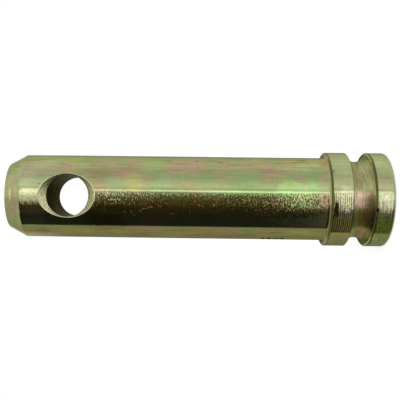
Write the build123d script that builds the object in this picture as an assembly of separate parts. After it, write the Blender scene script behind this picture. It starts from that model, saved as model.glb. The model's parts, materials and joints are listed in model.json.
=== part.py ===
import os
from math import radians, tan

from build123d import *

# A hitch pin turned from one bar, in millimetres. It stands on its head: the origin is the middle
# of the head's end face, +Z runs up the axis to the tip, and the cross hole runs along Y.

# Shaft, from the shoulder under the head to the tip
shaft_diameter = 25.4
shaft_length = 96.8
shoulder_fillet = 1.0

# Tip, a long lead-in chamfer that leaves a flat end face
tip_chamfer_length = 5.1
tip_chamfer_depth = 2.7
tip_edge_radius = 0.3

# Head, two collars with a round groove between them
shoulder_height = 1.7
end_collar_length = 5.7
shoulder_collar_length = 6.15
groove_width = 6.4
groove_depth = 2.75
collar_chamfer = 0.2
end_edge_radius = 1.0

# Cross hole near the tip, for a spring clip, with a countersink at each mouth
cross_hole_diameter = 12.5
cross_hole_from_tip = 19.0
countersink_widening = 2.1
countersink_angle = 90
cutter_overrun = 1.0

# Sizes that follow from those above
shaft_radius = shaft_diameter / 2
collar_radius = shaft_radius + shoulder_height
groove_floor_radius = collar_radius - groove_depth
tip_face_radius = shaft_radius - tip_chamfer_depth
cross_hole_radius = cross_hole_diameter / 2

groove_start = end_collar_length
groove_end = groove_start + groove_width
groove_middle = groove_start + groove_width / 2
shoulder = groove_end + shoulder_collar_length
tip = shoulder + shaft_length
tip_chamfer_start = tip - tip_chamfer_length
cross_hole_height = tip - cross_hole_from_tip


def rounded_line(start, corners, end):
    """A line through corners, each given with its radius. A corner with no radius stays sharp."""
    points = [point for point, radius in corners]
    return FilletPolyline(start, *points, end, radius=[radius for point, radius in corners])


def turned_blank():
    """The whole turned outline, spun once about the axis."""
    groove_rim = collar_radius - collar_chamfer
    end_collar = [
        ((collar_radius, 0), end_edge_radius),
        ((collar_radius, groove_start - collar_chamfer), 0),
    ]
    shoulder_collar_and_shaft = [
        ((collar_radius, groove_end + collar_chamfer), 0),
        ((collar_radius, shoulder - collar_chamfer), 0),
        ((collar_radius - collar_chamfer, shoulder), 0),
        ((shaft_radius, shoulder), shoulder_fillet),
        ((shaft_radius, tip_chamfer_start), 0),
        ((tip_face_radius, tip), tip_edge_radius),
    ]
    with BuildPart() as blank:
        with BuildSketch(Plane.XZ):
            with BuildLine():
                below = rounded_line((0, 0), end_collar, (groove_rim, groove_start))
                ThreePointArc(below @ 1, (groove_floor_radius, groove_middle), (groove_rim, groove_end))
                above = rounded_line((groove_rim, groove_end), shoulder_collar_and_shaft, (0, tip))
                Line(above @ 1, below @ 0)
            make_face()
        revolve(axis=Axis.Z)
    return blank.part


def cross_hole():
    """What the drill and the countersink take away, as one spun tool along Y."""
    slope = tan(radians(countersink_angle / 2))
    bore_end = shaft_radius - countersink_widening / slope
    outer_end = shaft_radius + cutter_overrun
    outer_radius = cross_hole_radius + (outer_end - bore_end) * slope
    points = [
        (0, -outer_end),
        (outer_radius, -outer_end),
        (cross_hole_radius, -bore_end),
        (cross_hole_radius, bore_end),
        (outer_radius, outer_end),
        (0, outer_end),
    ]
    with BuildPart() as cutter:
        with BuildSketch(Plane.XY):
            with BuildLine():
                Polyline(*points, close=True)
            make_face()
        revolve(axis=Axis.Y)
    return Pos(0, 0, cross_hole_height) * cutter.part


pin = turned_blank() - cross_hole()

os.makedirs("parts", exist_ok=True)
export_step(pin, "parts/pin.step")
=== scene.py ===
import json
from math import atan2, cos, degrees, hypot, pi, radians, sin, sqrt
from types import SimpleNamespace

import bmesh
import bpy
from mathutils import Matrix, Vector, noise


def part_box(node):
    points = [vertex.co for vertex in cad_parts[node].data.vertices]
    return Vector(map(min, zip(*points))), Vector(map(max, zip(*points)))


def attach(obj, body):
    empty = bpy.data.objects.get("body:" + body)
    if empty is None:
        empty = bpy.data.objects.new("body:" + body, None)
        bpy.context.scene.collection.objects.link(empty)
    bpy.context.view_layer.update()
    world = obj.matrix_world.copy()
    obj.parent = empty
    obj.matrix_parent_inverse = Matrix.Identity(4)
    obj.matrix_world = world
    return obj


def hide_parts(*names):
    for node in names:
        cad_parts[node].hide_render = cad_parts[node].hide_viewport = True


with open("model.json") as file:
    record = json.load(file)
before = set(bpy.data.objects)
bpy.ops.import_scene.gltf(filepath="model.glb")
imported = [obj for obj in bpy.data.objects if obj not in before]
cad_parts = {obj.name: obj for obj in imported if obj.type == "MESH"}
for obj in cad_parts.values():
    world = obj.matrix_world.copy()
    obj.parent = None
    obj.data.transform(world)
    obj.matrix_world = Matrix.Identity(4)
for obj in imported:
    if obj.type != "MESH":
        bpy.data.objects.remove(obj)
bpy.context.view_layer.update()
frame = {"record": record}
mounts = {mount["name"]: mount for mount in frame["record"]["mounts"]}
mm = 0.001
print("frame loaded")


# Node trees are built through this small wrapper, the same for materials, the world and geometry

class Tree:
    def __init__(self, tree):
        self.tree = tree
        self.tree.nodes.clear()

    def add(self, kind, inputs=None, **settings):
        made = self.tree.nodes.new(kind)
        for name, value in settings.items():
            setattr(made, name, value)
        for socket, value in (inputs or {}).items():
            self.feed(made.inputs[socket], value)
        return made

    def feed(self, target, value):
        if isinstance(value, bpy.types.NodeSocket):
            self.tree.links.new(value, target)
        else:
            target.default_value = value

    def math(self, operation, *values):
        made = self.add("ShaderNodeMath", operation=operation)
        for socket, value in zip(made.inputs, values):
            self.feed(socket, value)
        return made.outputs[0]

    def times(self, first, *others):
        for other in others:
            first = self.math("MULTIPLY", first, other)
        return first

    def most(self, first, *others):
        for other in others:
            first = self.math("MAXIMUM", first, other)
        return first

    def between(self, share, low, high):
        return self.math("MULTIPLY_ADD", share, high - low, low)

    def vector(self, operation, *values):
        made = self.add("ShaderNodeVectorMath", operation=operation)
        for socket, value in zip(made.inputs, values):
            self.feed(socket, value)
        return made.outputs[1 if operation in ("LENGTH", "DISTANCE", "DOT_PRODUCT") else 0]

    def join(self, x, y, z=0.0):
        return self.add("ShaderNodeCombineXYZ", {0: x, 1: y, 2: z}).outputs[0]

    def split(self, vector):
        return self.add("ShaderNodeSeparateXYZ", {0: vector}).outputs

    def grey(self, level):
        return self.join(level, level, level)

    def shade(self, colour, level):
        return self.vector("MULTIPLY", colour, self.grey(level))

    def fade(self, value, start, end, low=0.0, high=1.0):
        made = self.add("ShaderNodeMapRange", interpolation_type="SMOOTHSTEP")
        for socket, given in zip(made.inputs, (value, start, end, low, high)):
            self.feed(socket, given)
        return made.outputs[0]

    def band(self, value, start, end, soft):
        rise = self.fade(value, start - soft, start + soft)
        fall = self.fade(value, end - soft, end + soft, 1.0, 0.0)
        return self.times(rise, fall)

    def mix(self, factor, first, second, how="MIX"):
        made = self.add("ShaderNodeMix", data_type="RGBA", blend_type=how)
        for name, value in (("Factor_Float", factor), ("A_Color", first), ("B_Color", second)):
            socket = next(s for s in made.inputs if s.identifier == name)
            self.feed(socket, value)
        return next(s for s in made.outputs if s.identifier == "Result_Color")

    def ramp(self, factor, stops):
        made = self.add("ShaderNodeValToRGB", {0: factor})
        points = made.color_ramp.elements
        while len(points) < len(stops):
            points.new(0.5)
        for point, (position, colour) in zip(points, stops):
            point.position = position
        for point, (position, colour) in zip(points, stops):
            point.color = colour
        return made.outputs[0]

    def noise(self, vector, scale, detail=2.0, roughness=0.5, **settings):
        inputs = {"Vector": vector, "Scale": scale, "Detail": detail, "Roughness": roughness}
        return self.add("ShaderNodeTexNoise", inputs, **settings).outputs[0]

    def stretched(self, place, perMillimetre, detail=2.0, roughness=0.5):
        return self.noise(self.vector("MULTIPLY", place, perMillimetre), 1.0, detail, roughness)


# The turned body. Sizes in millimetres: what the frame states comes from it, the rest is set here

pinLow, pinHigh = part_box("pin")
body = {
    "length": (pinHigh[2] - pinLow[2]) / mm,
    "collarRadius": (pinHigh[0] - pinLow[0]) / 2 / mm,
    "shaftRadius": mounts["shaft"]["dims"]["r_mm"],
    "shoulder": mounts["shoulder"]["pos_m"][2] / mm,
    "shoulderFillet": 1.0,
    "grooveStart": 5.7,
    "grooveEnd": 12.1,
    "grooveRadius": 11.65,    # at the bottom of its arc
    "edgeBreak": 0.18,        # break on the collars' sharp edges
    "endRounding": 1.0,       # rounded edge of the head's end face
    "tipChamferLength": 5.1,
    "tipFaceRadius": 10.0,
    "tipRounding": 0.3,
    "around": 192,            # faces round the pin
}
rings = {
    "pitch": 0.6,             # turning marks on the collar beside the shaft
    "depth": 0.024,
    "seed": 7.0,
}
# Dents on the collars: height, place round the pin, half length, half width and depth, in millimetres
dents = [(17.25, -2.8, 0.62, 1.9, 0.12), (5.3, -3.1, 0.35, 0.6, 0.08)]
bore = {
    "radius": mounts["cross_hole"]["dims"]["r_mm"],
    "height": mounts["cross_hole"]["pos_m"][2] / mm,
    "halfLength": mounts["cross_hole"]["dims"]["length_mm"] / 2,
    "columns": 21,            # half the width of the patch round each mouth, in faces
    "rows": 11,               # half its height, in rows one millimetre apart
    "rimSoftness": 0.08,      # how far the countersink's outer edge is rubbed round
    # where the rings of faces lie: up the countersink, out over the shaft, and how deep down the bore
    "coneSteps": (0.0, 0.06, 0.18, 0.36, 0.55, 0.74, 0.88, 0.96, 1.0),
    "shaftSteps": (0.02, 0.06, 0.13, 0.25, 0.42, 0.62, 0.82),
    "boreSteps": (0.05, 0.16, 0.4, 0.9, 1.8, 3.0, 4.5, 6.2, 8.0, 9.4),
}


def lineTo(points, target, steps):
    start = points[-1]
    points += [tuple(a + (b - a) * i / steps for a, b in zip(start, target)) for i in range(1, steps + 1)]


def arcTo(points, centre, radius, fromAngle, toAngle, steps):
    for i in range(1, steps + 1):
        angle = radians(fromAngle + (toAngle - fromAngle) * i / steps)
        points.append((centre[0] + radius * cos(angle), centre[1] + radius * sin(angle)))


def turnedOutline():
    # A narrow row beside each rounding keeps the flat next to it flat in its shading
    narrow, narrower = 0.08, 0.06
    b = body
    collar, shaft, edge = b["collarRadius"], b["shaftRadius"], b["edgeBreak"]

    # Head
    end = b["endRounding"]
    points = [(0.0, 0.0)]
    lineTo(points, (collar - end - narrow, 0.0), 6)
    lineTo(points, (collar - end, 0.0), 1)
    arcTo(points, (collar - end, end), end, -90, 0, 10)
    lineTo(points, (collar, b["grooveStart"] - edge), 30)
    lineTo(points, (collar - edge, b["grooveStart"]), 5)
    halfWidth = (b["grooveEnd"] - b["grooveStart"]) / 2
    sag = collar - edge - b["grooveRadius"]
    bend = (halfWidth ** 2 + sag ** 2) / (2 * sag)
    turn = degrees(atan2(halfWidth, sag - bend))
    arcTo(points, (b["grooveRadius"] + bend, b["grooveStart"] + halfWidth), bend, -turn, turn - 360, 60)
    lineTo(points, (collar, b["grooveEnd"] + edge), 5)
    lineTo(points, (collar, b["shoulder"] - edge), 72)
    lineTo(points, (collar - edge, b["shoulder"]), 5)

    # Shaft, with evenly spaced rows where the cross hole goes in
    fillet, shaftStart = b["shoulderFillet"], b["shoulder"] + b["shoulderFillet"]
    lineTo(points, (shaft + fillet, b["shoulder"]), 2)
    arcTo(points, (shaft + fillet, shaftStart), fillet, -90, -180, 12)
    lineTo(points, (shaft, shaftStart + narrower), 1)
    lineTo(points, (shaft, bore["height"] - bore["rows"]), 66)
    lineTo(points, (shaft, bore["height"] + bore["rows"]), 2 * bore["rows"])

    # Tip
    top, tip, face = b["length"], b["tipRounding"], b["tipFaceRadius"]
    start = top - b["tipChamferLength"]
    slope = (shaft - face) / b["tipChamferLength"]
    lean = atan2(shaft - face, b["tipChamferLength"])
    flat = face - tip * (1 - sin(lean)) / cos(lean)
    lineTo(points, (shaft, start - 0.25), 3)
    lineTo(points, (shaft, start - narrow), 1)
    lineTo(points, (shaft - slope * narrow, start + narrow), 2)
    lineTo(points, (shaft - slope * 0.3, start + 0.3), 1)
    lineTo(points, (face + slope * tip, top - tip), 8)
    arcTo(points, (flat, top - tip), tip, degrees(lean), 90, 6)
    lineTo(points, (flat - narrow, top), 1)
    lineTo(points, (0.0, top), 6)
    return points


def revolveTree():
    group = bpy.data.node_groups.new("revolve an outline", "GeometryNodeTree")
    sockets = group.interface
    geometry = "NodeSocketGeometry"
    sockets.new_socket("Outline", in_out="INPUT", socket_type=geometry)
    sockets.new_socket("Around", in_out="INPUT", socket_type="NodeSocketInt")
    for name in ("Ring Pitch", "Ring Depth", "Ring Start", "Ring End", "Seed"):
        sockets.new_socket(name, in_out="INPUT", socket_type="NodeSocketFloat")
    sockets.new_socket("Material", in_out="INPUT", socket_type="NodeSocketMaterial")
    sockets.new_socket("Body", in_out="OUTPUT", socket_type=geometry)
    tree = Tree(group)
    given = tree.add("NodeGroupInput").outputs

    # A flat grid with one row for each point of the outline and one column for each step round
    size = tree.add("GeometryNodeAttributeDomainSize", {0: given["Outline"]}).outputs["Point Count"]
    columns = tree.math("ADD", given["Around"], 1.0)
    grid = tree.add("GeometryNodeMeshGrid", {"Vertices X": columns, "Vertices Y": size}).outputs[0]
    place = tree.split(tree.add("GeometryNodeInputPosition").outputs[0])
    turn = tree.times(tree.math("ADD", place[0], 0.5), 2 * pi)
    rows = tree.math("SUBTRACT", size, 1.0)
    row = tree.math("ROUND", tree.times(tree.math("ADD", place[1], 0.5), rows))
    sample = tree.add("GeometryNodeSampleIndex", {0: given["Outline"]}, data_type="FLOAT_VECTOR")
    tree.feed(next(s for s in sample.inputs if s.enabled and s.name == "Value"),
              tree.add("GeometryNodeInputPosition").outputs[0])
    tree.feed(sample.inputs["Index"], row)
    point = tree.split(next(s for s in sample.outputs if s.enabled))
    east, north = tree.math("COSINE", turn), tree.math("SINE", turn)

    # Turning marks: a shallow wave along the pin that wanders and fades a little round it
    ring = tree.math("DIVIDE", point[2], given["Ring Pitch"])
    wander = tree.noise(tree.join(east, north), 1.3, 2.0, noise_dimensions="4D")
    fade = tree.noise(tree.join(east, north, ring), 0.9, 1.0, noise_dimensions="4D")
    for made in tree.tree.nodes:
        if made.bl_idname == "ShaderNodeTexNoise":
            tree.feed(made.inputs["W"], given["Seed"])
    wave = tree.math("SINE", tree.times(tree.math("ADD", ring, tree.times(wander, 0.5)), 2 * pi))
    depth = tree.times(given["Ring Depth"], -0.5, tree.math("MULTIPLY_ADD", fade, 1.2, 0.4))
    inside = tree.times(tree.math("GREATER_THAN", point[2], given["Ring Start"]),
                        tree.math("LESS_THAN", point[2], given["Ring End"]))
    cut = tree.times(tree.math("ADD", wave, 1.0), depth, inside)
    radius = tree.math("ADD", point[0], cut)

    position = tree.join(tree.times(radius, east), tree.times(radius, north), point[2])
    moved = tree.add("GeometryNodeSetPosition", {"Geometry": grid, "Position": position}).outputs[0]
    closed = tree.add("GeometryNodeMergeByDistance", {"Geometry": moved, "Distance": 1e-6}).outputs[0]
    smooth = tree.add("GeometryNodeSetShadeSmooth", {"Geometry": closed}).outputs[0]
    real = tree.add("GeometryNodeRealizeInstances", {0: smooth}).outputs[0]
    dressed = tree.add("GeometryNodeSetMaterial", {"Geometry": real, "Material": given["Material"]})
    tree.add("NodeGroupOutput", {0: dressed.outputs[0]})
    return group


def turnedBody(material):
    outline = bpy.data.meshes.new("outline")
    outline.from_pydata([(r * mm, 0, z * mm) for r, z in turnedOutline()], [], [])
    maker = bpy.data.objects.new("outline", outline)
    bpy.context.scene.collection.objects.link(maker)
    modifier = maker.modifiers.new("revolve", "NODES")
    modifier.node_group = revolveTree()
    values = {
        "Around": body["around"], "Ring Pitch": rings["pitch"] * mm, "Ring Depth": rings["depth"] * mm,
        "Ring Start": (body["grooveEnd"] + body["edgeBreak"] * 1.5) * mm,
        "Ring End": (body["shoulder"] - body["edgeBreak"] * 1.2) * mm,
        "Seed": rings["seed"], "Material": material,
    }
    for item in modifier.node_group.interface.items_tree:
        if item.in_out == "INPUT" and item.name in values:
            modifier[item.identifier] = values[item.name]
    evaluated = maker.evaluated_get(bpy.context.evaluated_depsgraph_get())
    mesh = bpy.data.meshes.new_from_object(evaluated)
    maker.modifiers.clear()
    bpy.data.objects.remove(maker)
    mesh.materials.clear()
    mesh.materials.append(material)
    return mesh


# The cross hole: a patch of the grid is taken out at each mouth and filled with rings of faces
# that follow the bore's edge, the countersink and its outer edge

def mouthDepth(across, along):
    # Distance from the pin's middle to its surface at a point of the mouth
    shaft = sqrt(max(body["shaftRadius"] ** 2 - across ** 2, 0.0))
    cone = bore["halfLength"] + hypot(across, along) - bore["radius"]
    soft = bore["rimSoftness"]
    blend = max(soft - abs(shaft - cone), 0.0) / soft
    return min(shaft, cone) - blend * blend * soft / 4


def mouthEdge(angle):
    # Radius at which the countersink meets the shaft, in one direction from the hole's middle
    low, high = bore["radius"], bore["radius"] + 4.0
    for _ in range(40):
        middle = (low + high) / 2
        across = middle * cos(angle)
        inside = bore["halfLength"] + middle - bore["radius"] < sqrt(body["shaftRadius"] ** 2 - across ** 2)
        low, high = (middle, high) if inside else (low, middle)
    return low


def mouthRow(work, angles, radii, side):
    row = []
    for angle, radius in zip(angles, radii):
        across, along = radius * cos(angle), radius * sin(angle)
        depth = mouthDepth(across, along)
        row.append(work.verts.new((across * mm, side * depth * mm, (bore["height"] + along) * mm)))
    return row


def boreRow(work, angles, depth):
    return [work.verts.new((bore["radius"] * cos(angle) * mm, depth * mm,
                            (bore["height"] + bore["radius"] * sin(angle)) * mm)) for angle in angles]


def joinRows(work, rows):
    for first, second in zip(rows, rows[1:]):
        for i in range(len(first)):
            j = (i + 1) % len(first)
            work.faces.new((first[i], first[j], second[j], second[i]))


def takeOutPatch(work, side):
    # Deletes the inside of the patch and returns the points round its edge, in order
    step = 2 * pi / body["around"]
    wide, tall = bore["columns"], bore["rows"]
    patch = {}
    for vertex in work.verts:
        turn = atan2(vertex.co.x, side * vertex.co.y)
        along = vertex.co.z / mm - bore["height"]
        if abs(along) < tall + 0.3 and abs(turn) < (wide + 0.5) * step:
            patch[round(turn / step), round(along)] = vertex
    inner = [vertex for (i, j), vertex in patch.items() if abs(i) < wide and abs(j) < tall]
    ring = [(i, -tall) for i in range(-wide, wide)] + [(wide, j) for j in range(-tall, tall)]
    ring += [(i, tall) for i in range(wide, -wide, -1)] + [(-wide, j) for j in range(tall, -tall, -1)]
    outer = [patch[key] for key in ring]
    bmesh.ops.delete(work, geom=inner, context="VERTS")
    return outer


def fillMouth(work, side):
    # Returns the directions from the hole's middle and the points round the bore's edge
    outer = takeOutPatch(work, side)
    spots = [(v.co.x / mm, v.co.z / mm - bore["height"]) for v in outer]
    angles = [atan2(z, x) for x, z in spots]
    limits = [hypot(x, z) for x, z in spots]
    rims = [mouthEdge(angle) for angle in angles]
    rows = []
    for share in bore["coneSteps"]:
        radii = [bore["radius"] + (rim - bore["radius"]) * share for rim in rims]
        rows.append(mouthRow(work, angles, radii, side))
    for share in bore["shaftSteps"]:
        radii = [rim + (limit - rim) * share for rim, limit in zip(rims, limits)]
        rows.append(mouthRow(work, angles, radii, side))
    joinRows(work, rows + [outer])
    return angles, rows[0]


def openCrossHole(mesh):
    work = bmesh.new()
    work.from_mesh(mesh)
    angles, front = fillMouth(work, -1)
    backAngles, back = fillMouth(work, 1)

    # The bore's wall joins the point of the back mouth that lies in the same direction
    nearest = [min(range(len(back)), key=lambda i: abs(backAngles[i] - angle)) for angle in angles]
    half = [bore["halfLength"] - depth for depth in bore["boreSteps"]]
    depths = [-depth for depth in half] + [0.0] + half[::-1]
    rows = [boreRow(work, angles, depth) for depth in depths]
    joinRows(work, [front] + rows + [[back[i] for i in nearest]])
    bmesh.ops.recalc_face_normals(work, faces=work.faces)
    for face in work.faces:
        face.smooth = True
    work.to_mesh(mesh)
    work.free()


def pressDents(mesh):
    for vertex in mesh.vertices:
        x, y, z = vertex.co / mm
        radius = hypot(x, y)
        if radius < body["shaftRadius"] + 0.5:
            continue
        across = atan2(x, -y) * body["shaftRadius"]
        for height, place, halfLength, halfWidth, depth in dents:
            reach = hypot((z - height) / halfLength, (across - place) / halfWidth)
            reach += 0.3 * noise.noise((x * 1.5, y * 1.5, z * 1.5))
            if reach < 1:
                sunk = 1 - depth * (1 - reach ** 2) / radius
                vertex.co.x *= sunk
                vertex.co.y *= sunk


# Plated steel: a thin yellow chromate skin that shifts between olive, green, yellow and rose.
# Lengths are in millimetres and turns round the pin in radians from its front, upward in the picture

plating = {
    "olive": (0.42, 0.395, 0.20, 1),
    "green": (0.27, 0.46, 0.17, 1),
    "paleGreen": (0.37, 0.52, 0.25, 1),
    "mint": (0.48, 0.70, 0.29, 1),
    "yellow": (0.52, 0.53, 0.18, 1),
    "rose": (0.52, 0.35, 0.24, 1),
    "rust": (0.52, 0.33, 0.14, 1),
    "smoke": (0.26, 0.215, 0.075, 1),
    "umber": (0.20, 0.14, 0.03, 1),
    # the skin's pink, made pale as painted highlight on the end collar's bright band
    "blushHighlight": (0.79, 0.68, 0.57, 1),
    # the pale skin of scratches, and painted highlight where its patches lighten the bright bands
    "scratchAndHighlightCream": (0.66, 0.64, 0.43, 1),
    # painted highlight, on the bright bands of the collar and shaft and as a streak on the tip's chamfer
    "paintedGlint": (0.95, 0.88, 0.62, 1),
    "drawnBrown": (0.34, 0.22, 0.11, 1),
    "mottleBrown": (1.16, 0.86, 0.80, 1),     # these two multiply the colour under them
    "mottleGreen": (0.84, 1.1, 0.92, 1),
    "pit": (0.045, 0.048, 0.012, 1),
    "sheenEdge": (0.62, 0.64, 0.50, 1),
}

# Clouds: colour, shift of the noise, where in the noise they start and end, and the most they cover
clouds = [
    ("green", 0.0, 0.42, 0.66, 0.5), ("rose", 40.0, 0.48, 0.68, 0.5), ("yellow", 80.0, 0.50, 0.68, 0.4),
]

# Patches of colour: height on the pin, place round it, half length, half width, colour and strength. The
# pale ones on the bright bands are painted highlight
blooms = [
    (79.8, 7.2, 2.2, 2.6, "rose", 0.75), (76.2, 11.2, 1.7, 1.9, "rose", 0.8),
    (80.0, 10.6, 2.2, 1.2, "green", 0.6), (86.0, 6.5, 5.0, 3.0, "smoke", 0.3),
    (76.2, 4.4, 2.8, 2.8, "yellow", 0.7), (82.0, 4.0, 2.6, 2.4, "paleGreen", 0.45),
    (72.4, 5.2, 2.6, 1.8, "rose", 0.4), (71.0, 10.8, 2.3, 1.3, "paleGreen", 0.6),
    (60.6, 10.0, 5.8, 3.2, "rose", 0.75), (69.8, 8.0, 2.6, 1.8, "green", 0.5),
    (67.5, 4.4, 3.4, 2.6, "paleGreen", 0.5), (61.2, 6.3, 2.6, 1.5, "green", 0.55),
    (59.8, 4.3, 1.7, 1.2, "rose", 0.5), (55.4, 5.2, 3.6, 2.3, "green", 0.6),
    (39.0, 2.4, 21.0, 2.0, "green", 0.55), (53.4, 9.6, 1.9, 2.6, "green", 0.4),
    (49.8, 11.2, 3.2, 1.5, "rose", 0.55), (42.4, 9.4, 1.5, 1.2, "rose", 0.8),
    (41.4, 6.7, 4.6, 2.4, "green", 0.6), (36.8, 9.6, 2.1, 5.0, "rose", 0.55),
    (31.0, 3.9, 3.2, 1.9, "yellow", 0.4), (30.4, 6.6, 1.5, 1.3, "green", 0.6),
    (27.4, 12.6, 1.7, 0.7, "smoke", 0.6), (22.3, 11.9, 1.5, 1.5, "yellow", 0.6),
    (22.9, 4.6, 1.9, 2.5, "green", 0.75), (20.6, 5.5, 1.4, 5.0, "rose", 0.4),
    (20.6, -0.5, 1.7, 3.2, "rose", 0.45), (19.3, 12.0, 1.0, 2.4, "rust", 0.8),
    (96.4, 9.8, 2.2, 1.3, "rose", 0.7), (107.6, 4.0, 2.7, 1.5, "paleGreen", 0.6),
    (112.6, 8.0, 1.3, 2.8, "green", 0.7), (111.4, -2.6, 1.3, 2.0, "rose", 0.6),
    (57.5, -11.3, 2.5, 0.9, "rust", 0.7), (42.0, -12.8, 2.9, 1.8, "green", 0.6),
    (32.8, -13.0, 2.7, 1.3, "green", 0.5), (47.0, -15.5, 2.8, 1.3, "rose", 0.5),
    (14.0, 8.9, 1.8, 3.6, "yellow", 0.5), (3.2, 10.5, 2.4, 3.4, "yellow", 0.6),
    (3.0, 4.6, 2.4, 2.6, "rose", 0.75), (3.6, -1.5, 1.6, 2.2, "rose", 0.35),
    (15.2, 2.0, 1.4, 2.2, "rose", 0.35), (14.6, -11.2, 2.4, 1.3, "rose", 0.5),
    (3.0, -12.5, 2.6, 2.6, "mint", 0.5), (106.6, 0.2, 4.0, 2.4, "scratchAndHighlightCream", 0.3),
    (14.4, -1.5, 2.8, 3.8, "paintedGlint", 0.95), (3.0, -1.0, 3.2, 2.8, "scratchAndHighlightCream", 0.85),
    (2.2, -0.9, 1.8, 2.4, "blushHighlight", 0.8), (113.15, 0.1, 0.3, 2.4, "paintedGlint", 1.0),
    (27.0, -0.5, 6.0, 3.4, "mint", 0.5), (113.2, 9.0, 1.2, 2.5, "green", 0.6),
    (112.0, 6.0, 1.3, 1.8, "rose", 0.6), (112.0, -4.0, 1.3, 1.8, "rose", 0.7),
    (112.3, -9.0, 1.4, 1.8, "green", 0.5), (113.2, 4.0, 0.8, 2.5, "yellow", 0.5),
    (2.6, -7.5, 2.8, 3.5, "green", 0.7), (15.0, -7.0, 2.6, 3.0, "green", 0.3),
    (27.0, 3.0, 7.0, 1.8, "mint", 0.75), (108.0, 5.0, 5.0, 5.0, "scratchAndHighlightCream", 0.25),
    (103.5, -12.5, 2.2, 1.5, "smoke", 0.6), (93.5, -14.0, 1.8, 1.2, "rust", 0.5),
    (15.0, -12.5, 2.8, 3.0, "smoke", 0.45), (3.0, 5.5, 2.8, 3.0, "smoke", 0.3),
    (84.5, -2.2, 5.0, 1.6, "smoke", 0.7), (27.0, -4.9, 6.5, 1.7, "umber", 0.75),
    (42.0, -2.6, 9.0, 1.6, "smoke", 0.45), (27.0, -12.6, 6.0, 2.0, "mint", 0.3),
    (84.5, -8.0, 8.0, 3.2, "smoke", 0.9), (103.0, 10.0, 6.0, 4.0, "scratchAndHighlightCream", 0.25),
    (106.5, -8.4, 3.6, 1.6, "mint", 0.9), (106.0, -4.9, 3.2, 1.5, "paintedGlint", 0.8),
    (108.5, 2.0, 2.4, 1.4, "scratchAndHighlightCream", 0.5), (46.0, 1.4, 13.0, 0.55, "mint", 0.5),
    (27.0, -2.2, 5.5, 1.5, "mint", 0.45), (42.0, 0.0, 9.0, 0.9, "smoke", 0.35),
    (64.0, 0.0, 10.0, 1.1, "green", 0.4), (80.0, -3.6, 4.5, 1.3, "umber", 0.3),
    (79.5, -0.9, 4.0, 0.9, "paleGreen", 0.35), (45.0, -14.5, 5.0, 2.0, "smoke", 0.25),
    (27.0, 11.0, 5.0, 2.4, "mint", 0.35), (3.0, 9.5, 2.4, 2.6, "mint", 0.35),
    (15.0, 9.0, 2.8, 3.4, "mint", 0.3),
]

# Small dark marks in the same form as the patches, without a colour
marks = [
    (57.6, 13.2, 0.7, 0.16), (57.3, 9.6, 0.4, 0.16), (44.5, 14.3, 0.9, 0.14), (42.0, 11.4, 0.8, 0.13),
    (25.6, 13.8, 0.6, 0.16), (26.2, 14.4, 1.6, 0.12), (37.2, -17.5, 0.7, 1.5), (35.4, -17.5, 0.9, 1.8),
    (33.0, -17.8, 1.3, 1.5), (31.2, -17.1, 0.7, 1.4), (17.7, 7.5, 0.22, 0.5), (89.0, 10.5, 0.3, 0.14),
    (66.0, 12.6, 0.8, 0.12), (108.9, -0.6, 0.16, 0.4), (109.6, 1.6, 0.2, 0.3), (104.2, 3.4, 0.5, 0.1),
    (50.5, 12.4, 0.9, 0.12),
]

# Scratches: from height and place round the pin to height and place
scratches = [
    (76.1, -5.9, 73.9, -4.0), (73.9, -4.0, 70.6, -3.0), (74.3, -4.2, 73.2, -5.6), (77.6, -3.2, 76.5, -5.2),
    (65.6, -5.0, 64.2, -5.3), (60.1, -3.2, 59.5, -4.8), (86.2, -2.4, 81.2, -2.3), (52.9, -2.2, 51.3, -2.6),
    (84.5, -1.2, 80.5, -1.1), (68.9, -2.6, 68.2, -3.1), (57.0, -2.4, 55.9, -2.9), (79.0, -4.4, 78.6, -5.0),
]

# The groove's paint, in zones from high in the picture round to the underside. Each has its first
# colour and then the colours it goes over to, from one distance off the groove's middle to another
groovePaint = {
    "zones": [
        ((0.37, 0.39, 0.17, 1), [(-1.2, 0.8, (0.32, 0.29, 0.125, 1))]),
        ((0.32, 0.20, 0.14, 1), [(-2.4, 1.8, (0.53, 0.41, 0.30, 1))]),
        ((0.44, 0.32, 0.10, 1), [(-2.6, 0.6, (0.36, 0.29, 0.06, 1)), (1.1, 1.7, (0.36, 0.44, 0.13, 1))]),
        ((0.30, 0.28, 0.10, 1), [(-2.4, -1.6, (0.42, 0.34, 0.17, 1)), (0.9, 1.6, (0.44, 0.58, 0.23, 1))]),
    ],
    # turns at which one zone goes over to the next
    "borders": [(0.26, 0.16), (-0.16, -0.32), (-0.72, -0.86)],
    "edge": (-2.3, -2.7, (0.30, 0.30, 0.10, 1)),
    "cuts": (0.80, 1.22),     # darkest and brightest turning line
    "strength": 0.9,
    "roughness": 0.24,
    "straightness": 0.88,     # how far its shading faces straight out, as fine turned steps do
}

# The collars and the shoulder
collarPaint = {
    "land": (0.46, 0.53, 0.28, 1),
    "endShade": (0.34, 0.41, 0.055, 1),       # the shaded side of the end collar, and of the other one
    "shoulderShade": (0.55, 0.46, 0.12, 1),
    "shadedTurn": (-0.82, -0.40),
    "shoulderLow": (0.24, 0.22, 0.09, 1),     # the shoulder's face, low in the picture and high
    "shoulderHigh": (0.44, 0.36, 0.17, 1),
    "rimDark": (0.055, 0.06, 0.014, 1),
    "scored": (0.66, 1.2),    # darkest and brightest turning line on the end collar
    "roughness": 0.15,
}

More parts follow.
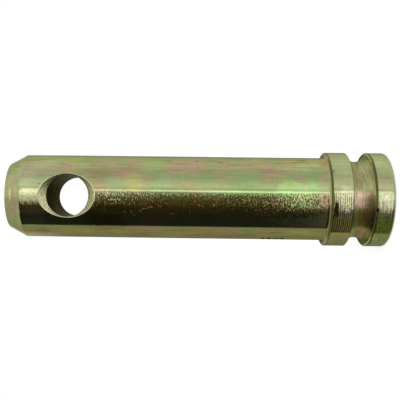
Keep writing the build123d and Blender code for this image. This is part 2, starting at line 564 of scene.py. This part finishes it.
# The cross hole: its countersink toward the tip and toward the head, a painted highlight along its outer
# edge, and its wall low and high, painted dark as shade
holePaint = {
    "tipward": (0.82, 0.80, 0.48, 1),
    "headward": (1.0, 0.97, 0.56, 1),
    "grit": (0.14, 0.13, 0.05, 1),
    "gritStrength": (0.85, 0.5),
    # a painted highlight along the countersink's outer edge
    "lipHighlight": (0.8, 0.76, 0.52, 1),
    # the wall inside the bore is painted dark as shade, darkest low in the picture
    "wallLow": (0.038, 0.016, 0.004, 1),
    "wallHigh": (0.165, 0.125, 0.062, 1),
    "coneRoughness": 0.42,
    "wallRoughness": 0.4,
}

# How the skin is polished, cut and scratched. The tilts are slopes
finish = {
    "roughness": (0.04, 0.12),
    "strokeTilt": 0.42,       # turning strokes, along the pin
    "sparkleTilt": 0.75,      # fine grain on the front, round the pin
    "sparkleBand": (-7.0, 0.9),               # places round the pin between which it shows
    "landTilt": 0.25,         # turning lines on the collars
    "calmTip": (84.0, 97.0),  # heights over which strokes and grain grow weaker, to this share
    "calmStrokes": 0.45,
    "calmSparkle": 0.45,
    "calmHead": 0.6,          # how much weaker both are in the groove and beside the shoulder
    "reliefDepth": 0.006,
    "scratchWidth": 0.16,
    "scratchRoughness": 0.45,
}


def pinSpot(tree):
    # Where a point lies: along the pin, round it, out from the shaft, and along it from the hole
    place = tree.vector("DIVIDE", tree.add("ShaderNodeTexCoord").outputs["Object"], (mm, mm, mm))
    x, y, z = tree.split(place)
    turn = tree.math("ARCTAN2", x, tree.times(y, -1.0))
    across = tree.times(turn, body["shaftRadius"])
    outward = tree.math("SUBTRACT", tree.vector("LENGTH", tree.join(x, y)), body["shaftRadius"])
    fromHole = tree.math("SUBTRACT", z, bore["height"])
    drawnOut = tree.vector("MULTIPLY", place, (1.0, 1.0, 0.45))
    return SimpleNamespace(
        place=place, x=x, z=z, turn=turn, across=across, outward=outward, fromHole=fromHole,
        flat=tree.join(z, across), drawnOut=drawnOut,
        ragged=tree.math("MULTIPLY_ADD", tree.noise(drawnOut, 0.5, 3.0, 0.65), 2.0, -1.0),
        wobble=tree.math("MULTIPLY_ADD", tree.noise(place, 0.8, 2.0, 0.6), 1.6, -0.8))


def patchMask(tree, spot, patch, edge, outer, inner):
    height, across, length, width = patch[:4]
    offset = tree.vector("SUBTRACT", spot.flat, (height, across, 0))
    reach = tree.vector("LENGTH", tree.vector("DIVIDE", offset, (length, width, 1)))
    return tree.fade(tree.math("ADD", reach, edge), outer, inner)


def scratchMask(tree, spot, scratch):
    start, end = Vector((*scratch[:2], 0)), Vector((*scratch[2:], 0))
    line = end - start
    offset = tree.vector("SUBTRACT", spot.flat, tuple(start))
    share = tree.vector("DOT_PRODUCT", offset, tuple(line / line.length_squared))
    share = tree.math("MINIMUM", tree.most(share, 0.0), 1.0)
    foot = tree.shade(tuple(line), share)
    return tree.fade(tree.vector("DISTANCE", offset, foot), finish["scratchWidth"], 0.03)


def pinRegions(tree, spot):
    # Masks for what has a finish of its own, each from 0 to 1. Collars begin well outward of the shaft
    grooveStart, grooveEnd, shoulder = body["grooveStart"], body["grooveEnd"], body["shoulder"]
    inGroove = tree.times(tree.band(spot.z, grooveStart - 0.02, grooveEnd + 0.02, 0.02),
                          tree.fade(spot.outward, 1.2, 1.0))
    onLand = tree.fade(spot.outward, 1.2, 1.5)
    onShoulder = tree.times(tree.band(spot.z, shoulder - 0.02, shoulder + 0.9, 0.05),
                            tree.fade(spot.outward, 0.02, 0.15))
    onEndCollar = tree.times(onLand, tree.fade(spot.z, grooveStart, grooveStart - 0.4),
                             tree.fade(spot.turn, 0.2, -0.1, 0.25, 1.0))

    # The countersink is where its cone lies deeper than the shaft's surface
    fromAxis = tree.vector("LENGTH", tree.join(spot.x, spot.fromHole))
    shaft = tree.math("SUBTRACT", body["shaftRadius"] ** 2, tree.times(spot.x, spot.x))
    cone = tree.math("ADD", fromAxis, bore["halfLength"] - bore["radius"])
    belowShaft = tree.math("SUBTRACT", tree.math("SQRT", shaft), cone)

    pits = tree.most(*(patchMask(tree, spot, dent, spot.wobble, 1.2, 0.85) for dent in dents))
    dark = tree.most(*(patchMask(tree, spot, mark, spot.wobble, 1.3, 0.6) for mark in marks))
    scratched = tree.most(*(scratchMask(tree, spot, scratch) for scratch in scratches))
    return SimpleNamespace(
        inGroove=inGroove, onLand=onLand, offLand=tree.fade(onLand, 1.0, 0.0),
        onShoulder=onShoulder, onEndCollar=onEndCollar,
        inCone=tree.fade(belowShaft, 0.0, 0.06),
        onLip=tree.fade(tree.math("ABSOLUTE", belowShaft), 0.16, 0.04),
        inBore=tree.fade(fromAxis, bore["radius"] + 0.06, bore["radius"] + 0.01),
        pits=pits, dirt=tree.most(pits, tree.times(dark, 0.7)),
        scratched=tree.times(scratched, tree.fade(spot.ragged, -0.2, 0.1)))


def paintClouds(tree, spot):
    colour = plating["olive"]
    for name, shift, start, end, strength in clouds:
        cloud = tree.noise(tree.vector("ADD", spot.drawnOut, (shift, 0.0, 0.0)), 0.2, 3.0)
        colour = tree.mix(tree.fade(cloud, start, end, 0.0, strength), colour, plating[name])
    # Patches of the skin's colours, where the pale ones on the bright bands are painted highlight
    for bloom in blooms:
        name, strength = bloom[4:]
        share = tree.times(patchMask(tree, spot, bloom, spot.ragged, 1.45, 0.3), strength)
        colour = tree.mix(share, colour, plating[name])
    return colour


def paintTip(tree, spot, colour):
    start = body["length"] - body["tipChamferLength"]
    bands = tree.stretched(spot.place, (0.1, 0.1, 1.3))
    banded = tree.mix(tree.fade(bands, 0.35, 0.5), plating["rose"], plating["yellow"])
    banded = tree.mix(tree.fade(bands, 0.5, 0.66), banded, plating["green"])
    return tree.mix(tree.fade(spot.z, start - 0.1, start + 0.1, 0.0, 0.35), colour, banded)


def paintGroove(tree, spot, regions, colour):
    fromMiddle = tree.math("SUBTRACT", spot.z, (body["grooveStart"] + body["grooveEnd"]) / 2)
    zones = []
    for zone, changes in groovePaint["zones"]:
        for start, end, following in changes:
            zone = tree.mix(tree.fade(fromMiddle, start, end), zone, following)
        zones.append(zone)
    paint = zones[0]
    for (start, end), zone in zip(groovePaint["borders"], zones[1:]):
        paint = tree.mix(tree.fade(spot.turn, start, end), paint, zone)
    start, end, edge = groovePaint["edge"]
    paint = tree.mix(tree.fade(fromMiddle, start, end), paint, edge)
    cuts = tree.stretched(spot.place, (0.25, 0.25, 3.0), 2.0, 0.6)
    paint = tree.shade(paint, tree.fade(cuts, 0.35, 0.65, *groovePaint["cuts"]))
    return tree.mix(tree.times(regions.inGroove, groovePaint["strength"]), colour, paint)


def paintCollars(tree, spot, regions, colour):
    paint, grooveStart, shoulder = collarPaint, body["grooveStart"], body["shoulder"]
    face = tree.mix(tree.fade(spot.turn, -0.4, 0.0), paint["shoulderLow"], paint["shoulderHigh"])
    colour = tree.mix(tree.times(regions.onShoulder, 0.75), colour, face)
    colour = tree.mix(tree.times(regions.onLand, 0.4), colour, paint["land"])
    shade = tree.mix(tree.fade(spot.z, 7.0, 11.0), paint["endShade"], paint["shoulderShade"])
    shaded = tree.times(regions.onLand, tree.band(spot.turn, *paint["shadedTurn"], 0.1))
    colour = tree.mix(tree.times(shaded, 0.9), colour, shade)

    # A dark band beside the two sharp rims that face the tip
    rims = tree.most(tree.band(spot.z, shoulder - 0.28, shoulder - 0.04, 0.05),
                     tree.band(spot.z, grooveStart - 0.48, grooveStart - 0.03, 0.06))
    rims = tree.times(rims, tree.fade(spot.outward, 1.35, 1.45))
    return tree.mix(tree.times(rims, 0.9), colour, paint["rimDark"])


def paintHole(tree, spot, regions, colour):
    paint = holePaint
    cone = tree.mix(tree.fade(spot.fromHole, -1.0, -4.0), paint["tipward"], paint["headward"])
    grit = tree.fade(tree.noise(spot.place, 2.6, 2.0, 0.6), 0.56, 0.62)
    grit = tree.times(grit, tree.fade(spot.fromHole, -1.0, -4.0, *paint["gritStrength"]))
    cone = tree.mix(grit, cone, paint["grit"])
    cone = tree.mix(tree.fade(spot.x, 2.0, 5.0, 0.0, 0.5), cone, plating["green"])
    colour = tree.mix(regions.inCone, colour, cone)
    # A painted highlight along the countersink's outer edge
    colour = tree.mix(tree.times(regions.onLip, 0.9), colour, paint["lipHighlight"])
    # The bore's wall is painted dark as shade, lighter high in the picture
    wall = tree.mix(tree.fade(spot.x, 1.0, 5.0), paint["wallLow"], paint["wallHigh"])
    return tree.mix(regions.inBore, colour, wall)


def weather(tree, spot, regions, colour):
    # The shaded side is mottled brown and green
    mottle = tree.stretched(spot.place, (1.1, 1.1, 0.5), 3.0, 0.6)
    mottle = tree.mix(tree.fade(mottle, 0.42, 0.58), plating["mottleBrown"], plating["mottleGreen"])
    shadedSide = tree.times(tree.band(spot.across, -9.0, -0.9, 0.7), tree.band(spot.z, 36.0, 88.0, 10.0))
    colour = tree.vector("MULTIPLY", colour, tree.mix(shadedSide, (1, 1, 1, 1), mottle))

    # Thin streaks of brown along the pin, high and low on its sides
    drawn = tree.fade(tree.stretched(spot.place, (1.1, 1.1, 0.1), 2.0, 0.6), 0.52, 0.64, 0.0, 0.55)
    sides = tree.most(tree.fade(spot.across, 6.0, 10.0), tree.fade(spot.across, -9.0, -12.0))
    colour = tree.mix(tree.times(drawn, sides, regions.offLand), colour, plating["drawnBrown"])
    colour = tree.mix(regions.dirt, colour, plating["pit"])
    colour = tree.mix(regions.scratched, colour, plating["scratchAndHighlightCream"])

    # Fine lines: scored ones on the end collar, then faint ones round the pin and along it
    scored = tree.stretched(spot.place, (0.2, 0.2, 3.4), 2.0, 0.6)
    scored = tree.fade(scored, 0.36, 0.64, *collarPaint["scored"])
    scored = tree.math("MULTIPLY_ADD", tree.math("SUBTRACT", scored, 1.0), regions.onEndCollar, 1.0)
    colour = tree.shade(colour, scored)
    roundLines = tree.fade(tree.stretched(spot.place, (0.5, 0.5, 2.6)), 0.3, 0.7, 0.95, 1.04)
    longLines = tree.fade(tree.stretched(spot.place, (1.5, 1.5, 0.16)), 0.3, 0.7, 0.93, 1.06)
    return tree.shade(colour, tree.times(roundLines, longLines))


def skinRoughness(tree, spot, regions):
    return tree.most(
        tree.fade(tree.noise(spot.place, 0.9, 3.0), 0.3, 0.7, *finish["roughness"]),
        tree.times(tree.most(regions.inBore, regions.pits), holePaint["wallRoughness"]),
        tree.times(regions.inCone, holePaint["coneRoughness"]),
        tree.times(regions.scratched, finish["scratchRoughness"]),
        tree.times(regions.inGroove, groovePaint["roughness"]),
        tree.times(tree.most(regions.onShoulder, regions.onEndCollar), collarPaint["roughness"]))


def skinNormal(tree, spot, regions):
    # Turning strokes are short and run round the pin, so they tilt the surface only along it
    strokes = tree.math("SUBTRACT", tree.stretched(spot.place, (1.7, 1.7, 4.6), 2.0, 0.7), 0.5)
    strokes = tree.times(strokes, tree.fade(spot.z, *finish["calmTip"], 1.0, finish["calmStrokes"]),
                         finish["strokeTilt"], tree.fade(spot.across, -3.5, -6.5, 1.0, 0.55))
    lines = tree.math("SUBTRACT", tree.stretched(spot.place, (0.35, 0.35, 6.0), 2.0, 0.6), 0.5)
    alongPin = tree.math("ADD", strokes, tree.times(lines, regions.onLand, finish["landTilt"]))

    # The grain sparkles, because it tilts the surface round the pin as well
    grain = tree.vector("ADD", tree.vector("MULTIPLY", spot.place, (2.2, 2.2, 3.2)), (50.0, 0.0, 0.0))
    grain = tree.math("SUBTRACT", tree.noise(grain, 1.0, 2.0, 0.7), 0.5)
    roundPin = tree.times(grain, tree.fade(spot.z, *finish["calmTip"], 1.0, finish["calmSparkle"]),
                          finish["sparkleTilt"], tree.between(regions.onLand, 1.0, 0.5),
                          tree.band(spot.across, *finish["sparkleBand"], 0.35))

    besideShoulder = tree.times(tree.fade(spot.z, 25.0, 20.0), regions.offLand)
    calm = tree.between(tree.most(regions.inGroove, besideShoulder), 1.0, 1.0 - finish["calmHead"])
    alongPin, roundPin = tree.times(alongPin, calm), tree.times(roundPin, calm)
    sine, cosine = tree.math("SINE", spot.turn), tree.math("COSINE", spot.turn)
    tilt = tree.join(tree.times(roundPin, cosine), tree.times(roundPin, sine), alongPin)

    straightOut = tree.join(sine, tree.times(cosine, -1.0))
    facing = tree.add("ShaderNodeTexCoord").outputs["Normal"]
    facing = tree.mix(tree.times(regions.inGroove, groovePaint["straightness"]), facing, straightOut)
    normal = tree.vector("NORMALIZE", tree.vector("ADD", facing, tilt))
    inWorld = tree.add("ShaderNodeVectorTransform", {0: normal}, vector_type="NORMAL",
                       convert_from="OBJECT", convert_to="WORLD").outputs[0]
    return tree.add("ShaderNodeBump", {
        "Height": tree.noise(spot.place, 1.6, 3.0, 0.6), "Distance": finish["reliefDepth"] * mm,
        "Strength": 1.0, "Normal": inWorld}).outputs[0]


def platedSteel():
    material = bpy.data.materials.new("plated steel")
    material.use_nodes = True
    tree = Tree(material.node_tree)
    spot = pinSpot(tree)
    regions = pinRegions(tree, spot)
    colour = paintClouds(tree, spot)
    colour = paintTip(tree, spot, colour)
    colour = paintGroove(tree, spot, regions, colour)
    colour = paintCollars(tree, spot, regions, colour)
    colour = paintHole(tree, spot, regions, colour)
    colour = weather(tree, spot, regions, colour)
    shader = tree.add("ShaderNodeBsdfPrincipled", {
        "Base Color": colour, "Metallic": 1.0, "Roughness": skinRoughness(tree, spot, regions),
        "Normal": skinNormal(tree, spot, regions),
        "Specular Tint": tree.mix(regions.dirt, plating["sheenEdge"], plating["pit"])})
    tree.add("ShaderNodeOutputMaterial", {0: shader.outputs[0]})
    return material


steel = platedSteel()
print("plated steel mixed")

pinMesh = turnedBody(steel)
openCrossHole(pinMesh)
pressDents(pinMesh)
turnedPin = bpy.data.objects.new("turnedPin", pinMesh)
bpy.context.scene.collection.objects.link(turnedPin)
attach(turnedPin, "root")
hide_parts("pin")
print("pin made:", len(pinMesh.vertices), "points", len(pinMesh.polygons), "faces")


# Camera, where the photograph was taken from: the pin lies across the picture, head to the right

camera = {
    "distance": 201.8,        # from the pin's axis, in millimetres
    "height": 61.5,           # above the head's end face
    "aimHeight": 65.2,
    "aimAcross": -0.84,
    "swing": -1.0,            # degrees round the pin, off the line of the cross hole
    "roll": 0.69,             # degrees
    "lens": 58.15,            # millimetres on a 36 mm sensor
    "shift": 0.0707,          # the picture is cropped off its optical centre
}


def placeCamera():
    data = bpy.data.cameras.new("camera")
    data.lens, data.sensor_width, data.shift_x = camera["lens"], 36, camera["shift"]
    data.clip_start = 0.01
    eye = Vector((0, -camera["distance"], camera["height"])) * mm
    aim = Vector((camera["aimAcross"], 0, camera["aimHeight"])) * mm
    forward = (aim - eye).normalized()
    roll = radians(camera["roll"])
    right = forward.cross(Vector((cos(roll), 0, sin(roll)))).normalized()
    up = right.cross(forward)
    turned = Matrix((right, up, -forward)).transposed().to_4x4()
    made = bpy.data.objects.new("camera", data)
    made.matrix_world = Matrix.Rotation(radians(camera["swing"]), 4, "Z") @ Matrix.Translation(eye) @ turned
    bpy.context.scene.collection.objects.link(made)
    bpy.context.scene.camera = made


# Studio: the white tent and dark cards that the metal reflects, and a white floor. Turns are in
# degrees round the pin from its front, and rises in degrees above the level

studio = {
    # how bright the tent's wall is at each turn
    "walls": [(-180, 0.30), (-159, 0.30), (-150, 0.45), (-91, 0.46), (-88.5, 0.025), (-50, 0.025),
              (-34, 0.03), (-23, 0.05), (-12, 0.10), (-4, 0.11), (4, 0.18), (9.5, 0.37), (13.6, 0.58),
              (15.2, 1.7), (18.4, 1.7), (19.6, 0.86), (23.5, 0.86), (27, 1.10), (31, 1.10), (44, 0.90),
              (54, 0.75), (80, 0.75), (95, 0.88), (140, 0.88), (150, 0.72), (160, 0.42), (180, 0.30)],
    "brightest": 3.0,         # the most that a wall may have
    "wallLow": -23.0,         # rises at which the walls end, below and above
    "wallHigh": 28.0,
    "warmTurn": (-150.0, -90.0),
    "warm": (1.0, 0.92, 0.72, 1),
    "brownTurn": (-40.0, 2.0),
    "brown": (1.3, 0.96, 0.40, 1),
    "darkTurn": (-86.0, -16.0),               # the dark side, and how much lighter it is below
    "darkLift": 0.22,
    # the bright front, from its dim end to its bright one, below the camera's dark card and above it
    "windowBelow": (1.35, 1.8),
    "windowAbove": (1.0, 2.0),
    "windowTint": (1.0, 0.99, 0.95),
    "windowLean": (0.23, -20.0),              # its near edge: turn per degree of rise, and turn at the level
    "windowSoft": (-11.0, 9.0),               # how softly that edge begins
    "windowEnd": (14.0, 15.0),
    "windowClimb": (-5.0, 12.0),              # turns between which it goes from dim to bright
    "cardLow": (-8.5, -16.0),                 # rises at which the card goes over to the window
    "cardHigh": (8.5, 12.5),
    "backWall": 0.85,         # above, behind the pin
    "backSlit": 0.03,         # a dark slit straight behind it
    # ceiling and ground, on the lower side of the picture and on the upper one
    "ceiling": (0.6, 0.85),
    "ground": (0.42, 0.88),
    "duskLoss": 0.78,         # how much darker both are beside the dark side
    "groundLamp": 0.95,       # straight down
    "topLamp": 1.3,           # straight up
    "floorSize": 3.0,         # metres
    "floorShadow": 0.35,
    "lampHeight": 70.0,       # degrees above the floor, from the camera's side
    "lampSoftness": 25.0,     # degrees
    "lampStrength": 2.3,
}


def tentWalls(tree, turn, rise):
    most = studio["brightest"]
    stops = [((angle + 180) / 360, (level / most,) * 3 + (1,)) for angle, level in studio["walls"]]
    walls = tree.ramp(tree.math("MULTIPLY_ADD", turn, 1 / 360, 0.5), stops)
    walls = tree.vector("MULTIPLY", walls, (most,) * 3)
    warm, brown = tree.band(turn, *studio["warmTurn"], 4.0), tree.band(turn, *studio["brownTurn"], 9.0)
    walls = tree.mix(warm, walls, tree.mix(1.0, walls, studio["warm"], "MULTIPLY"))
    walls = tree.mix(brown, walls, tree.mix(1.0, walls, studio["brown"], "MULTIPLY"))
    lift = tree.fade(rise, -8.0, -20.0, 0.0, studio["darkLift"])
    lift = tree.times(tree.band(turn, *studio["darkTurn"], 4.0), lift)
    walls = tree.vector("ADD", walls, tree.grey(lift))

    # The front is bright above and below the dark card that the camera looks past
    above, below = tree.fade(rise, *studio["cardHigh"]), tree.fade(rise, *studio["cardLow"])
    fromEdge = tree.math("SUBTRACT", turn, tree.math("MULTIPLY_ADD", rise, *studio["windowLean"]))
    window = tree.times(tree.math("ADD", above, below), tree.fade(fromEdge, *studio["windowSoft"]),
                        tree.fade(turn, *studio["windowEnd"], 1.0, 0.0))
    dim, full = (tree.between(above, low, high)
                 for low, high in zip(studio["windowBelow"], studio["windowAbove"]))
    climb = tree.fade(turn, *studio["windowClimb"])
    bright = tree.math("MULTIPLY_ADD", climb, tree.math("SUBTRACT", full, dim), dim)
    walls = tree.mix(window, walls, tree.shade(studio["windowTint"], bright))

    # Behind the pin the walls are pale above and dark below
    aside = tree.math("ABSOLUTE", turn)
    pale = tree.times(tree.fade(aside, 115.0, 140.0), tree.fade(rise, 9.0, 14.0))
    walls = tree.mix(pale, walls, tree.grey(studio["backWall"]))
    slit = tree.times(tree.fade(aside, 163.0, 170.0), tree.band(rise, -16.0, 4.0, 2.0))
    return tree.mix(slit, walls, tree.grey(studio["backSlit"]))


def tentEnds(tree, turn, rise):
    upperSide = tree.times(tree.fade(turn, -35.0, 5.0), tree.fade(turn, 180.0, 150.0))
    dusk = tree.times(tree.fade(turn, -10.0, -32.0), tree.fade(turn, -91.0, -87.0),
                      tree.band(rise, -72.0, 50.0, 5.0))
    dusk = tree.between(dusk, 1.0, 1.0 - studio["duskLoss"])
    ground = tree.between(upperSide, *studio["ground"])
    ground = tree.times(tree.most(ground, tree.fade(rise, -60.0, -72.0, 0.0, studio["groundLamp"])), dusk)
    ceiling = tree.times(tree.between(upperSide, *studio["ceiling"]), dusk)
    ceiling = tree.most(ceiling, tree.fade(rise, 78.0, 84.0, 0.0, studio["topLamp"]))
    return tree.grey(ground), tree.grey(ceiling)


def buildWorld():
    world = bpy.data.worlds.new("studio")
    bpy.context.scene.world = world
    world.use_nodes = True
    tree = Tree(world.node_tree)
    x, y, z = tree.split(tree.add("ShaderNodeTexCoord").outputs["Generated"])
    turn = tree.times(tree.math("ARCTAN2", x, tree.times(y, -1.0)), 180 / pi)
    rise = tree.times(tree.math("ARCSINE", z), 180 / pi)
    walls = tentWalls(tree, turn, rise)
    ground, ceiling = tentEnds(tree, turn, rise)
    low, high = studio["wallLow"], studio["wallHigh"]
    tent = tree.mix(tree.fade(rise, low - 3, low + 3), ground, walls)
    tent = tree.mix(tree.fade(rise, high - 5, high + 5), tent, ceiling)

    # The camera sees plain white round the pin, and everything else is lit by the tent
    seen = tree.mix(tree.add("ShaderNodeLightPath").outputs["Is Camera Ray"], tent, (1, 1, 1, 1))
    background = tree.add("ShaderNodeBackground", {"Color": seen, "Strength": 1.0})
    tree.add("ShaderNodeOutputWorld", {0: background.outputs[0]})


def buildFloor():
    size = studio["floorSize"] / 2
    mesh = bpy.data.meshes.new("floor")
    corners = [(-size, -size, 0), (size, -size, 0), (size, size, 0), (-size, size, 0)]
    mesh.from_pydata(corners, [], [(0, 1, 2, 3)])
    material = bpy.data.materials.new("floor")
    material.use_nodes = True
    tree = Tree(material.node_tree)
    paint = tree.add("ShaderNodeBsdfDiffuse", {"Color": (0.9, 0.9, 0.9, 1)}).outputs[0]
    white = tree.add("ShaderNodeEmission", {"Color": (1, 1, 1, 1)}).outputs[0]
    share = tree.times(tree.add("ShaderNodeLightPath").outputs["Is Camera Ray"], 1 - studio["floorShadow"])
    mixed = tree.add("ShaderNodeMixShader", {0: share, 1: paint, 2: white}).outputs[0]
    tree.add("ShaderNodeOutputMaterial", {0: mixed})
    mesh.materials.append(material)
    made = bpy.data.objects.new("floor", mesh)
    made.visible_glossy = False
    bpy.context.scene.collection.objects.link(made)


def buildLamp():
    data = bpy.data.lights.new("soft lamp", "SUN")
    data.angle, data.energy = radians(studio["lampSoftness"]), studio["lampStrength"]
    made = bpy.data.objects.new("soft lamp", data)
    made.rotation_euler = (radians(90 - studio["lampHeight"]), 0, 0)
    made.visible_glossy = False
    bpy.context.scene.collection.objects.link(made)


placeCamera()
buildWorld()
buildFloor()
buildLamp()
bpy.context.scene.view_settings.view_transform = "Standard"
print("studio ready")
